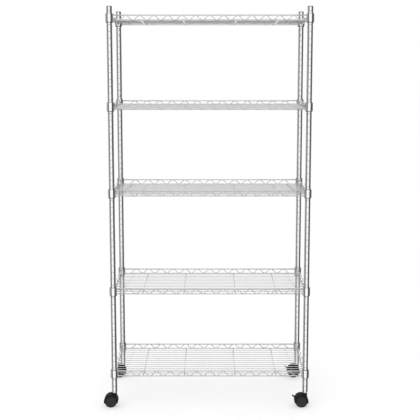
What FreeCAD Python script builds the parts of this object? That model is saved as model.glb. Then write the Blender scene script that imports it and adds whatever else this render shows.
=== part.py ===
"""Five-tier wire shelving rack on four twin-wheel casters.

Millimetres, +Z up, +X to the right and the front at -Y. The origin lies on the floor, in the
centre of the footprint. All four casters trail towards -X, so the rack stands a little to the
right of it. Shelf 1 is the lowest.
"""
import FreeCAD, Part
import math
import os
import Sketcher

App = FreeCAD
doc = App.newDocument("wire_shelving_rack")
dims = doc.addObject("Spreadsheet::Sheet", "dims")

DRIVING_DIMENSIONS = (
    # Where the posts stand
    ("rack_shift", 13, "post rectangle's centre from the footprint's centre"),
    ("post_span_x", 748, "left to right post axis"),
    ("post_span_y", 330, "front to back post axis"),
    # Posts: two grooved tubes, screwed together
    ("post_dia", 22, "outside"),
    ("post_wall", 1.2, "tube wall"),
    ("post_foot", 61, "height of the lower end"),
    ("post_joint", 815, "height where the two sections meet"),
    ("post_top", 1548, "height of the upper end"),
    ("groove_pitch", 25.4, "one inch, the step of the shelf heights"),
    ("groove_depth", 0.6, "of each rolled groove"),
    ("groove_land", 1.2, "flat at the bottom of a groove"),
    ("groove_count", 29, "in each section"),
    # Shelf heights, at the middle of the corner collars
    ("shelf_1_height", 133.4, "lowest shelf, on a groove of the lower section"),
    ("shelf_3_height", 847, "middle shelf, on a groove of the upper section"),
    ("shelf_step", 13, "grooves from one shelf to the next"),
    # Inserts, studs and caps in the tube ends
    ("insert_length", 22, "threaded insert"),
    ("insert_bore", 10, "M10 thread"),
    ("thread_gap", 0.05, "radial gap between the threads"),
    ("stud_length", 18, "of the joint stud below the joint"),
    ("cap_plug", 12, "depth of the cap inside the tube"),
    ("cap_head", 3, "height of the cap above the tube"),
    ("cap_round", 2.2, "edge radius of the cap"),
    # Corner collars and their split sleeves
    ("collar_dia", 30, "outside"),
    ("collar_height", 32, "overall"),
    ("collar_mouth", 25.6, "bore at the top of the taper"),
    ("collar_foot", 27.2, "bore at the foot of the taper"),
    ("collar_round", 2, "upper edge"),
    ("collar_chamfer", 0.7, "lower edge"),
    ("sleeve_above", 16.5, "sleeve above the collar's middle"),
    ("sleeve_below", 18, "sleeve below the collar's middle"),
    ("sleeve_sweep", 176, "degrees that each half covers"),
    ("rib_depth", 0.5, "inner rib, which sits in a groove"),
    # Shelf wires
    ("rail_dia", 5, "outer rails"),
    ("rail_gap", 19, "upper to lower rail axis"),
    ("snake_dia", 3.4, "zigzag wire"),
    ("snake_pitch", 52, "one full wave"),
    ("snake_bend", 5, "bend radius at the wire's axis"),
    ("snake_tail", 6, "straight end, welded along the lower rail"),
    ("deck_dia", 2.8, "long deck wires"),
    ("deck_pitch", 24.4, "between deck wires"),
    ("deck_count", 13, "deck wires"),
    ("deck_overhang", 1, "past the side rail's axis"),
    ("cross_dia", 4, "cross wires under the deck wires"),
    ("cross_inner", 100, "inner pair from the shelf's centre"),
    ("cross_outer", 260, "outer pair from the shelf's centre"),
    ("weld_sink", 0.3, "depth that welded deck wires sink into each other"),
    # Casters, measured from the axle
    ("trail", 14, "axle behind the swivel axis"),
    ("wheel_radius", 23.5, "tread"),
    ("wheel_inner", 6.8, "inner face from the caster's middle plane"),
    ("wheel_outer", 18.4, "outer edge of the tread from the middle plane"),
    ("wheel_shoulder", 2.2, "rounding of the tread's outer edge"),
    ("axle_dia", 6, "steel axle"),
    ("axle_reach", 15.4, "axle end from the middle plane"),
    ("axle_gap", 0.05, "radial running gap in the wheels and the pedals"),
    ("axle_end_gap", 0.4, "between the axle's end and the hub cap"),
    ("hub_radius", 7, "boss round the axle and the cap outside it"),
    ("cap_groove", 0.8, "width of the groove round the hub cap"),
    ("cap_rise", 1.4, "hub cap beyond the tread's outer edge"),
    ("rim_radius", 20.2, "hollow inside the rim and the disc outside it"),
    ("rim_groove", 1, "width of the groove between disc and tread"),
    ("rim_groove_depth", 1.2, "from the tread's outer edge"),
    ("disc_thickness", 4, "from the tread's outer edge to the hollow"),
    ("disc_crown", 1.2, "rise of the disc at the hub, half of it at the rim"),
    ("web_half", 6, "half the hood's middle web"),
    ("hood_gap", 1, "between tread and hood"),
    ("hood_wall", 2.9, "shell over the wheels"),
    ("hood_lift", 18, "height of the hood's lower edge"),
    ("boss_radius", 9, "swivel boss"),
    ("boss_foot", 10, "where the boss starts, above the axle"),
    ("boss_round", 1.5, "upper edge of the boss"),
    ("boss_top", 55.5, "height of the swivel boss"),
    ("pin_dia", 7, "swivel pin"),
    ("pin_foot", 31, "height of the swivel pin's lower end"),
    ("pin_gap", 0.05, "radial running gap round the swivel pin"),
    ("pin_room", 1.5, "bore beyond the pin's end"),
    ("hex_width", 17, "across the flats of the stem's hexagon"),
    ("hex_height", 4.8, "height of the stem's hexagon"),
    ("stem_length", 20, "threaded length inside the insert"),
    # Brake pedals on the right-hand casters
    ("pedal_angle", 150, "degrees, direction of the pedal from the axle"),
    ("pedal_travel", 18, "degrees, pressed down"),
    ("pedal_pivot", 19, "pivot from the axle"),
    ("pedal_toe", 13, "inner end from the axle"),
    ("pedal_root", 28.8, "where the tread plate starts, from the axle"),
    ("pedal_tip", 41.5, "outer end from the axle"),
    ("pedal_thickness", 2.6, "arm and tread plate"),
    ("pedal_arm", 5.2, "width of the arm"),
    ("pedal_width", 14, "width of the tread plate"),
    ("pivot_dia", 3, "pivot pin"),
    ("pivot_eye", 2.9, "radius of the arm round its pivot"),
    ("slot_gap", 0.7, "round the pedal's arm in the hood"),
    ("toe_room", 1.5, "slot beyond the pedal's inner end"),
    ("cut_beyond", 2, "that a cut reaches past an outer face"),
)
for row, (alias, value, meaning) in enumerate(DRIVING_DIMENSIONS, start=1):
    dims.set(f"A{row}", alias)
    dims.set(f"B{row}", str(value))
    dims.setAlias(f"B{row}", alias)
    dims.set(f"C{row}", meaning)
doc.recompute()

LEFT, RIGHT = -1, 1
FRONT, BACK = -1, 1
CORNERS = (
    ("front_left", LEFT, FRONT),
    ("front_right", RIGHT, FRONT),
    ("back_left", LEFT, BACK),
    ("back_right", RIGHT, BACK),
)
TUBE_BORE = "(dims.post_dia/2 - dims.post_wall)"
RACK_CORNER = ("dims.rack_shift + dims.post_span_x/2", "dims.post_span_y/2")


def number(expression):
    """Value of an expression in the dimension sheet."""
    return float(dims.evalExpression(expression))


def bind(thing, prop, expression):
    """Drive a property from the sheet; a plain number is set as it is."""
    thing.setExpression(prop, expression)


def new_body(label):
    """Body that may hold several separate solids."""
    body = doc.addObject("PartDesign::Body", label)
    body.Label = label
    body.AllowCompound = True
    return body


def place(body, base, turn=0):
    """Put a body at three expressions and turn it about Z."""
    axis = App.Vector(0, 0, 1)
    at = App.Vector(*(number(part) for part in base))
    body.Placement = App.Placement(at, App.Rotation(axis, turn))
    for letter, expression in zip("xyz", base):
        bind(body, f"Placement.Base.{letter}", expression)


def origin_plane(body, role):
    """One of the body's own planes or axes, by its role, such as XY_Plane or Z_Axis."""
    return next(item for item in body.Origin.OriginFeatures if item.Role == role)


def new_sketch(body, name, role, offset="0"):
    """Sketch on one of the body's own planes, moved along the plane's normal."""
    sketch = body.newObject("Sketcher::SketchObject", name)
    sketch.AttachmentSupport = [(origin_plane(body, role), "")]
    sketch.MapMode = "FlatFace"
    bind(sketch, "AttachmentOffset.Base.z", offset)
    return sketch


def pin_point(sketch, item, end, across, up):
    """Hold one point of a sketch at two expressions."""
    for kind, expression in (("DistanceX", across), ("DistanceY", up)):
        limit = Sketcher.Constraint(kind, -1, 1, item, end, number(expression))
        index = sketch.addConstraint(limit)
        bind(sketch, f"Constraints[{index}]", expression)


def outline(sketch, corners):
    """Closed polygon through corners that are pairs of expressions."""
    points = [App.Vector(number(across), number(up), 0) for across, up in corners]
    count = len(points)
    for index in range(count):
        sketch.addGeometry(Part.LineSegment(points[index], points[(index + 1) % count]))
    for index in range(count):
        joint = Sketcher.Constraint("Coincident", index, 2, (index + 1) % count, 1)
        sketch.addConstraint(joint)
    for index, (across, up) in enumerate(corners):
        pin_point(sketch, index, 1, across, up)


def ring(sketch, across, up, radius):
    """Circle whose centre and radius are expressions."""
    centre = App.Vector(number(across), number(up), 0)
    item = sketch.addGeometry(Part.Circle(centre, App.Vector(0, 0, 1), number(radius)))
    pin_point(sketch, item, 3, across, up)
    index = sketch.addConstraint(Sketcher.Constraint("Radius", item, number(radius)))
    bind(sketch, f"Constraints[{index}]", radius)


def extrude(body, kind, name, sketch, length, midplane=False, flip=False):
    """Pad or Pocket of one sketch."""
    feature = body.newObject(f"PartDesign::{kind}", name)
    feature.Profile = sketch
    feature.Midplane = midplane
    feature.Reversed = flip
    bind(feature, "Length", length)
    body.Tip = feature
    return feature


def turn(body, kind, name, sketch, axis="V_Axis", sweep="360", midplane=False):
    """Revolution or Groove of one sketch about its own axis."""
    feature = body.newObject(f"PartDesign::{kind}", name)
    feature.Profile = sketch
    feature.ReferenceAxis = (sketch, [axis])
    feature.Midplane = midplane
    bind(feature, "Angle", sweep)
    body.Tip = feature
    return feature


def pattern_step(body, name, role, length, count="2", flip=False):
    """Linear pattern along one of the body's axes, for use alone or in a MultiTransform."""
    step = body.newObject("PartDesign::LinearPattern", name)
    step.Direction = (origin_plane(body, role), [""])
    step.Reversed = flip
    bind(step, "Length", length)
    bind(step, "Occurrences", count)
    return step


def at_all_corners(body, features, first_steps=()):
    """Copy features from the back right corner to the other three."""
    copies = body.newObject("PartDesign::MultiTransform", f"{body.Name}_corners")
    copies.Originals = list(features)
    along_x = pattern_step(body, f"{body.Name}_x", "X_Axis", "dims.post_span_x", flip=True)
    along_y = pattern_step(body, f"{body.Name}_y", "Y_Axis", "dims.post_span_y", flip=True)
    copies.Transformations = [*first_steps, along_x, along_y]
    body.Tip = copies


def mirror(body, feature, role):
    """Copy of a feature on the other side of one of the body's own planes."""
    copy = body.newObject("PartDesign::Mirrored", f"{feature.Name}_mirrored")
    copy.Originals = [feature]
    copy.MirrorPlane = (origin_plane(body, role), [""])
    body.Tip = copy


def soften(body, kind, name, base, size, wanted):
    """Fillet or Chamfer on the edges of base that pass the test."""
    doc.recompute()
    edges = base.Shape.Edges
    names = [f"Edge{index}" for index, edge in enumerate(edges, start=1) if wanted(edge)]
    feature = body.newObject(f"PartDesign::{kind}", name)
    feature.Base = (base, names)
    bind(feature, "Radius" if kind == "Fillet" else "Size", size)
    body.Tip = feature
    return feature


def circular(edge, radius, **centre):
    """True for an arc of that radius whose centre has the given coordinates."""
    curve = edge.Curve
    if not isinstance(curve, Part.Circle):
        return False
    near = [abs(getattr(curve.Center, letter) - value) < 0.01 for letter, value in centre.items()]
    return abs(curve.Radius - radius) < 0.01 and all(near)


# ---- Posts ----------------------------------------------------------------------------------

def post_section(label, side, depth, foot, top, first_groove):
    """One grooved tube. Its own origin is at its lower end."""
    body = new_body(label)
    wall = new_sketch(body, f"{label}_wall", "XY_Plane")
    ring(wall, "0", "0", "dims.post_dia/2")
    ring(wall, "0", "0", TUBE_BORE)
    extrude(body, "Pad", f"{label}_tube", wall, f"{top} - {foot}")
    notch = new_sketch(body, f"{label}_notch", "XZ_Plane")
    floor = "dims.post_dia/2 - dims.groove_depth"
    mouth = "dims.post_dia/2 + dims.groove_depth"
    middle = f"{first_groove} - {foot}"
    outline(notch, (
        (floor, f"{middle} - dims.groove_land/2"),
        (mouth, f"{middle} - dims.groove_land/2 - 2*dims.groove_depth"),
        (mouth, f"{middle} + dims.groove_land/2 + 2*dims.groove_depth"),
        (floor, f"{middle} + dims.groove_land/2"),
    ))
    groove = turn(body, "Groove", f"{label}_groove", notch)
    grooves = pattern_step(
        body, f"{label}_grooves", "Z_Axis",
        "dims.groove_pitch*(dims.groove_count - 1)", "dims.groove_count",
    )
    grooves.Originals = [groove]
    body.Tip = grooves
    place(body, (
        f"dims.rack_shift + {side}*dims.post_span_x/2",
        f"{depth}*dims.post_span_y/2",
        foot,
    ))


for corner, side, depth in CORNERS:
    post_section(
        f"post_{corner}_lower", side, depth, "dims.post_foot", "dims.post_joint",
        "dims.shelf_1_height - 2*dims.groove_pitch",
    )
    post_section(
        f"post_{corner}_upper", side, depth, "dims.post_joint", "dims.post_top",
        "dims.shelf_3_height - dims.groove_pitch",
    )


def tube_inserts():
    """Threaded inserts: one in the foot of each post and one at each joint."""
    body = new_body("tube_inserts")
    wall = new_sketch(body, "insert_wall", "XY_Plane")
    ring(wall, "0", "0", TUBE_BORE)
    ring(wall, "0", "0", "dims.insert_bore/2")
    insert = extrude(body, "Pad", "insert", wall, "dims.insert_length")
    up = pattern_step(
        body, "insert_up", "Z_Axis", "dims.post_joint - dims.insert_length - dims.post_foot"
    )
    at_all_corners(body, [insert], [up])
    place(body, (*RACK_CORNER, "dims.post_foot"))


def joint_studs():
    """Plug in the foot of each upper section, with a stud that screws into the lower one."""
    body = new_body("joint_studs")
    section = new_sketch(body, "stud_section", "XZ_Plane")
    outline(section, (
        ("0", "-dims.stud_length"),
        ("dims.insert_bore/2 - dims.thread_gap", "-dims.stud_length"),
        ("dims.insert_bore/2 - dims.thread_gap", "0"),
        (TUBE_BORE, "0"),
        (TUBE_BORE, "dims.insert_length"),
        ("0", "dims.insert_length"),
    ))
    stud = turn(body, "Revolution", "stud", section)
    at_all_corners(body, [stud])
    place(body, (*RACK_CORNER, "dims.post_joint"))


def post_caps():
    """Low domed caps, plugged into the posts."""
    body = new_body("post_caps")
    section = new_sketch(body, "cap_section", "XZ_Plane")
    rim = "dims.post_dia/2 - dims.thread_gap"
    outline(section, (
        ("0", "-dims.cap_plug"),
        (TUBE_BORE, "-dims.cap_plug"),
        (TUBE_BORE, "0"),
        (rim, "0"),
        (rim, "dims.cap_head"),
        ("0", "dims.cap_head"),
    ))
    cap = turn(body, "Revolution", "cap", section)
    head = number("dims.cap_head")
    edge_radius = number(rim)
    dome = soften(
        body, "Fillet", "cap_dome", cap, "dims.cap_round",
        lambda edge: circular(edge, edge_radius, z=head),
    )
    at_all_corners(body, [cap, dome])
    place(body, (*RACK_CORNER, "dims.post_top"))


# ---- Shelves --------------------------------------------------------------------------------

TAPER = "(dims.collar_foot - dims.collar_mouth)/2/dims.collar_height"
TAPER_MIDDLE = "(dims.collar_foot + dims.collar_mouth)/4"


def collars(label, height):
    """Four tapered corner collars; they slide down over the split sleeves and lock."""
    body = new_body(label)
    section = new_sketch(body, f"{label}_section", "XZ_Plane")
    outline(section, (
        ("dims.collar_foot/2", "-dims.collar_height/2"),
        ("dims.collar_dia/2 - dims.collar_chamfer", "-dims.collar_height/2"),
        ("dims.collar_dia/2", "-dims.collar_height/2 + dims.collar_chamfer"),
        ("dims.collar_dia/2", "dims.collar_height/2 - dims.collar_round"),
        ("dims.collar_dia/2 - dims.collar_round", "dims.collar_height/2"),
        ("dims.collar_mouth/2", "dims.collar_height/2"),
    ))
    collar = turn(body, "Revolution", f"{label}_turned", section)
    at_all_corners(body, [collar])
    place(body, (*RACK_CORNER, height))


def sleeves(label, height):
    """Two half sleeves round each post, each with a rib that drops into a groove."""
    body = new_body(label)
    section = new_sketch(body, f"{label}_section", "XZ_Plane")
    bore = "dims.post_dia/2"
    outline(section, (
        (bore, "-dims.sleeve_below"),
        (f"{TAPER_MIDDLE} + {TAPER}*dims.sleeve_below", "-dims.sleeve_below"),
        (f"{TAPER_MIDDLE} - {TAPER}*dims.sleeve_above", "dims.sleeve_above"),
        (bore, "dims.sleeve_above"),
        (bore, "dims.groove_land/2 + dims.rib_depth"),
        (f"{bore} - dims.rib_depth", "dims.groove_land/2"),
        (f"{bore} - dims.rib_depth", "-dims.groove_land/2"),
        (bore, "-dims.groove_land/2 - dims.rib_depth"),
    ))
    half = turn(
        body, "Revolution", f"{label}_half", section, sweep="dims.sleeve_sweep", midplane=True
    )
    around = body.newObject("PartDesign::PolarPattern", f"{label}_around")
    around.Axis = (origin_plane(body, "Z_Axis"), [""])
    around.Angle = 360
    around.Occurrences = 2
    at_all_corners(body, [half], [around])
    place(body, (*RACK_CORNER, height))


def rails(label, height):
    """Upper and lower rails on all four sides, cut to the round of the collars."""
    body = new_body(label)
    radius = "dims.rail_dia/2"
    long_rails = new_sketch(body, f"{label}_long_section", "YZ_Plane")
    side_rails = new_sketch(body, f"{label}_side_section", "XZ_Plane")
    for edge in (-1, 1):
        for level in (-1, 1):
            up = f"{level}*dims.rail_gap/2"
            ring(long_rails, f"{edge}*dims.post_span_y/2", up, radius)
            ring(side_rails, f"{edge}*dims.post_span_x/2", up, radius)
    extrude(body, "Pad", f"{label}_long", long_rails, "dims.post_span_x", midplane=True)
    extrude(body, "Pad", f"{label}_sides", side_rails, "dims.post_span_y", midplane=True)
    room = new_sketch(body, f"{label}_collar_room", "XY_Plane")
    for side in (LEFT, RIGHT):
        for depth in (FRONT, BACK):
            across = f"{side}*dims.post_span_x/2"
            ring(room, across, f"{depth}*dims.post_span_y/2", "dims.collar_dia/2")
    extrude(body, "Pocket", f"{label}_trimmed", room, "2*dims.collar_height", midplane=True)
    place(body, ("dims.rack_shift", "0", height))


def zigzag(sketch, waves):
    """Open path of the given number of waves, with round bends and a straight tail each end."""
    half_pitch = number("dims.snake_pitch/2")
    bend = number("dims.snake_bend")
    tail = number("dims.snake_tail")
    centre_height = number("dims.rail_gap/2") - bend
    between_centres = math.hypot(half_pitch, 2 * centre_height)
    slope = math.atan2(2 * centre_height, half_pitch) + math.asin(2 * bend / between_centres)
    bends = []
    for index in range(-waves, waves + 1):
        level = 1 if (waves - index) % 2 else -1
        start = -slope if index > -waves else 0
        end = slope if index < waves else 0
        centre = App.Vector(index * half_pitch, level * centre_height, 0)
        points = [
            centre + App.Vector(bend * math.sin(angle), level * bend * math.cos(angle), 0)
            for angle in (start, (start + end) / 2, end)
        ]
        bends.append(points)
    first, last = bends[0][0], bends[-1][-1]
    sketch.addGeometry(Part.LineSegment(first - App.Vector(tail, 0, 0), first))
    for index, points in enumerate(bends):
        sketch.addGeometry(Part.Arc(*points))
        if index + 1 < len(bends):
            sketch.addGeometry(Part.LineSegment(points[-1], bends[index + 1][0]))
    sketch.addGeometry(Part.LineSegment(last, last + App.Vector(tail, 0, 0)))


def snakes(label, height):
    """Zigzag wires welded to the outer faces of the rails: front, back and both sides."""
    body = new_body(label)
    stand_off = "dims.rail_dia/2 + dims.snake_dia/2"
    # Each run: its plane, the plane across its start, how far out it lies, which way the two
    # planes' normals point, and the number of half waves on each side of the middle
    runs = (
        ("front", "XZ_Plane", "YZ_Plane", "dims.post_span_y/2", 1, -1, 13),
        ("side", "YZ_Plane", "XZ_Plane", "dims.post_span_x/2", 1, 1, 5),
    )
    for name, role, start_role, reach, normal, start_sign, half_waves in runs:
        offset = f"{normal}*({reach} + {stand_off})"
        path = new_sketch(body, f"{label}_{name}_path", role, offset)
        zigzag(path, half_waves)
        start = f"{half_waves}*dims.snake_pitch/2 + dims.snake_tail"
        section = new_sketch(
            body, f"{label}_{name}_section", start_role, f"{start_sign}*({start})"
        )
        across = f"-({reach} + {stand_off})" if name == "front" else f"{reach} + {stand_off}"
        ring(section, across, "-dims.rail_gap/2", "dims.snake_dia/2")
        pipe = body.newObject("PartDesign::AdditivePipe", f"{label}_{name}")
        pipe.Profile = section
        pipe.Spine = path
        body.Tip = pipe
        mirror(body, pipe, role)
    place(body, ("dims.rack_shift", "0", height))


def deck(label, height):
    """Mat of long deck wires, welded on top of four cross wires."""
    body = new_body(label)
    lower_rail = "-dims.rail_gap/2"
    deck_level = f"{lower_rail} + dims.rail_dia/2 + dims.deck_dia/2"
    cross_level = f"{deck_level} - dims.deck_dia/2 - dims.cross_dia/2 + dims.weld_sink"
    crosses = new_sketch(body, f"{label}_cross_section", "XZ_Plane")
    for side in (LEFT, RIGHT):
        for distance in ("dims.cross_inner", "dims.cross_outer"):
            ring(crosses, f"{side}*{distance}", cross_level, "dims.cross_dia/2")
    extrude(
        body, "Pad", f"{label}_crosses", crosses, "dims.post_span_y - dims.rail_dia", midplane=True
    )
    wire = new_sketch(body, f"{label}_wire_section", "YZ_Plane")
    spread = "dims.deck_pitch*(dims.deck_count - 1)"
    ring(wire, f"-{spread}/2", deck_level, "dims.deck_dia/2")
    first = extrude(
        body, "Pad", f"{label}_first_wire", wire,
        "dims.post_span_x + 2*dims.deck_overhang", midplane=True,
    )
    wires = pattern_step(body, f"{label}_wires", "Y_Axis", spread, "dims.deck_count")
    wires.Originals = [first]
    body.Tip = wires
    place(body, ("dims.rack_shift", "0", height))


SHELF_HEIGHTS = (
    "dims.shelf_1_height",
    "dims.shelf_1_height + dims.shelf_step*dims.groove_pitch",
    "dims.shelf_3_height",
    "dims.shelf_3_height + dims.shelf_step*dims.groove_pitch",
    "dims.shelf_3_height + 2*dims.shelf_step*dims.groove_pitch",
)

tube_inserts()
joint_studs()
post_caps()
for tier, height in enumerate(SHELF_HEIGHTS, start=1):
    collars(f"shelf_{tier}_collars", height)
    sleeves(f"shelf_{tier}_sleeves", height)
    rails(f"shelf_{tier}_rails", height)
    snakes(f"shelf_{tier}_snakes", height)
    deck(f"shelf_{tier}_deck", height)


# ---- Casters --------------------------------------------------------------------------------

HOOD_RADIUS = "(dims.wheel_radius + dims.hood_gap + dims.hood_wall)"
HOOD_HALF = "(dims.wheel_outer + dims.hood_gap + dims.hood_wall)"
WELL_RADIUS = "(dims.wheel_radius + dims.hood_gap)"
WELL_HALF = "(dims.wheel_outer + dims.hood_gap)"


def caster_stems():
    """Threaded stems with a hexagon, and below it the pin that each hood swivels on."""
    body = new_body("caster_stems")
    section = new_sketch(body, "stem_section", "XZ_Plane")
    shank = "dims.insert_bore/2 - dims.thread_gap"
    outline(section, (
        ("0", "dims.pin_foot"),
        ("dims.pin_dia/2", "dims.pin_foot"),
        ("dims.pin_dia/2", "dims.post_foot"),
        (shank, "dims.post_foot"),
        (shank, "dims.post_foot + dims.stem_length"),
        ("0", "dims.post_foot + dims.stem_length"),
    ))
    stem = turn(body, "Revolution", "stem", section)
    hexagon = new_sketch(body, "hexagon", "XY_Plane", "dims.post_foot")
    corners = []
    for index in range(6):
        angle = 60 * index
        reach = "dims.hex_width/2/cos(30)"
        corners.append((f"{reach}*cos({angle})", f"{reach}*sin({angle})"))
    outline(hexagon, corners)
    nut = extrude(body, "Pad", "stem_hexagon", hexagon, "dims.hex_height", flip=True)
    at_all_corners(body, [stem, nut])
    place(body, (*RACK_CORNER, "0"))


def place_caster_part(body, side, depth, turned=0):
    """Put a part that is drawn round the axle's middle where its caster stands."""
    place(body, (
        f"dims.rack_shift + {side}*dims.post_span_x/2 - dims.trail",
        f"{depth}*dims.post_span_y/2",
        "dims.wheel_radius",
    ), turned)


def wheel(label, side, depth, facing):
    """Moulded wheel, hollow on its inner side. It is drawn on the +Y half of the axle."""
    body = new_body(label)
    section = new_sketch(body, f"{label}_section", "YZ_Plane")
    bore = "dims.axle_dia/2 + dims.axle_gap"
    bore_end = "dims.axle_reach + dims.axle_end_gap"
    disc_back = "dims.wheel_outer - dims.disc_thickness"
    rim_groove = "dims.wheel_outer - dims.rim_groove_depth"
    cap_groove = "dims.wheel_outer + dims.disc_crown/3"
    cap = "dims.wheel_outer + dims.cap_rise"
    outline(section, (
        ("dims.wheel_inner", bore),
        ("dims.wheel_inner", "dims.hub_radius"),
        (disc_back, "dims.hub_radius"),
        (disc_back, "dims.rim_radius"),
        ("dims.wheel_inner", "dims.rim_radius"),
        ("dims.wheel_inner", "dims.wheel_radius"),
        ("dims.wheel_outer", "dims.wheel_radius"),
        ("dims.wheel_outer", "dims.rim_radius + dims.rim_groove"),
        (rim_groove, "dims.rim_radius + dims.rim_groove"),
        (rim_groove, "dims.rim_radius"),
        ("dims.wheel_outer + dims.disc_crown/2", "dims.rim_radius"),
        ("dims.wheel_outer + dims.disc_crown", "dims.hub_radius + dims.cap_groove"),
        (cap_groove, "dims.hub_radius + dims.cap_groove"),
        (cap_groove, "dims.hub_radius"),
        (cap, "dims.hub_radius"),
        (cap, "0"),
        (bore_end, "0"),
        (bore_end, bore),
    ))
    disc = turn(body, "Revolution", f"{label}_turned", section, axis="H_Axis")
    radius = number("dims.wheel_radius")
    outer = number("dims.wheel_outer")
    soften(
        body, "Fillet", f"{label}_shoulder", disc, "dims.wheel_shoulder",
        lambda edge: circular(edge, radius, y=outer),
    )
    place_caster_part(body, side, depth, 0 if facing == BACK else 180)


def axle(label, side, depth):
    """Steel rod through the hood's web that both wheels turn on."""
    body = new_body(label)
    section = new_sketch(body, f"{label}_section", "XZ_Plane")
    ring(section, "0", "0", "dims.axle_dia/2")
    extrude(body, "Pad", f"{label}_rod", section, "2*dims.axle_reach", midplane=True)
    place_caster_part(body, side, depth)


def along_pedal(distance, across):
    """Sketch point at a distance from the axle along the pedal, and across it (+ is down)."""
    cosine, sine = "cos(dims.pedal_angle)", "sin(dims.pedal_angle)"
    return (
        f"({distance})*{cosine} - ({across})*{sine}",
        f"({distance})*{sine} + ({across})*{cosine}",
    )


def hood(label, side, depth, braked):
    """Shell over both wheels, with a web between them and the swivel boss on top of it."""
    body = new_body(label)
    profile = new_sketch(body, f"{label}_profile", "XZ_Plane")
    radius = number(HOOD_RADIUS)
    drop = number("dims.hood_lift - dims.wheel_radius")
    reach = math.sqrt(radius ** 2 - drop ** 2)
    right, top, left = (App.Vector(*at, 0) for at in ((reach, drop), (0, radius), (-reach, drop)))
    profile.addGeometry(Part.Arc(right, top, left))
    profile.addGeometry(Part.LineSegment(left, right))
    blank = extrude(body, "Pad", f"{label}_blank", profile, f"2*{HOOD_HALF}", midplane=True)
    edge_radius = "dims.wheel_shoulder + dims.hood_gap + dims.hood_wall"
    soften(
        body, "Fillet", f"{label}_rounded", blank, edge_radius,
        lambda edge: circular(edge, radius),
    )
    boss_plan = new_sketch(body, f"{label}_boss_plan", "XY_Plane", "dims.boss_foot")
    ring(boss_plan, "dims.trail", "0", "dims.boss_radius")
    boss_height = "dims.boss_top - dims.wheel_radius - dims.boss_foot"
    boss = extrude(body, "Pad", f"{label}_boss", boss_plan, boss_height)
    boss_top = number("dims.boss_top - dims.wheel_radius")
    boss_radius = number("dims.boss_radius")
    soften(
        body, "Fillet", f"{label}_boss_edge", boss, "dims.boss_round",
        lambda edge: circular(edge, boss_radius, z=boss_top),
    )
    well_edge = f"{WELL_RADIUS} - dims.wheel_shoulder"
    for name, sign in (("front", -1), ("back", 1)):
        well = new_sketch(body, f"{label}_well_{name}", "YZ_Plane")
        outline(well, (
            (f"{sign}*dims.web_half", "0"),
            (f"{sign}*dims.web_half", WELL_RADIUS),
            (f"{sign}*({WELL_HALF} - dims.wheel_shoulder)", WELL_RADIUS),
            (f"{sign}*{WELL_HALF}", well_edge),
            (f"{sign}*({HOOD_HALF} + dims.cut_beyond)", well_edge),
            (f"{sign}*({HOOD_HALF} + dims.cut_beyond)", "0"),
        ))
        turn(body, "Groove", f"{label}_wheel_well_{name}", well, axis="H_Axis")
    axle_hole = new_sketch(body, f"{label}_axle_hole", "XZ_Plane")
    ring(axle_hole, "0", "0", "dims.axle_dia/2")
    extrude(body, "Pocket", f"{label}_axle_bore", axle_hole, "3*dims.web_half", midplane=True)
    pin_hole = new_sketch(
        body, f"{label}_pin_hole", "XY_Plane", "dims.boss_top - dims.wheel_radius"
    )
    ring(pin_hole, "dims.trail", "0", "dims.pin_dia/2 + dims.pin_gap")
    pin_depth = "dims.boss_top - dims.pin_foot + dims.pin_room"
    extrude(body, "Pocket", f"{label}_pin_bore", pin_hole, pin_depth)
    if braked:
        cut_pedal_slot(body, label)
    place_caster_part(body, side, depth)


def cut_pedal_slot(body, label):
    """Slot through web and shell that the pedal's arm swings in, and its pivot's bore."""
    half = "dims.pedal_thickness/2 + dims.slot_gap"
    toe = "dims.pedal_toe - dims.toe_room"
    lip = f"{HOOD_RADIUS} + dims.cut_beyond"
    swing = "sin(dims.pedal_travel)"
    slot = new_sketch(body, f"{label}_slot_profile", "XZ_Plane")
    outline(slot, (
        along_pedal(toe, f"-({half}) - (dims.pedal_pivot - ({toe}))*{swing}"),
        along_pedal("dims.pedal_pivot", f"-({half})"),
        along_pedal(lip, f"-({half})"),
        along_pedal(lip, f"{half} + ({lip} - dims.pedal_pivot)*{swing}"),
        along_pedal("dims.pedal_pivot", half),
        along_pedal(toe, half),
    ))
    eye_room = new_sketch(body, f"{label}_eye_room", "XZ_Plane")
    ring(eye_room, *along_pedal("dims.pedal_pivot", "0"), "dims.pivot_eye + dims.slot_gap")
    width = "dims.pedal_arm + dims.slot_gap"
    extrude(body, "Pocket", f"{label}_slot", slot, width, midplane=True)
    extrude(body, "Pocket", f"{label}_eye_slot", eye_room, width, midplane=True)
    pivot = new_sketch(body, f"{label}_pivot_hole", "XZ_Plane")
    ring(pivot, *along_pedal("dims.pedal_pivot", "0"), "dims.pivot_dia/2")
    extrude(body, "Pocket", f"{label}_pivot_bore", pivot, "3*dims.web_half", midplane=True)


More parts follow.
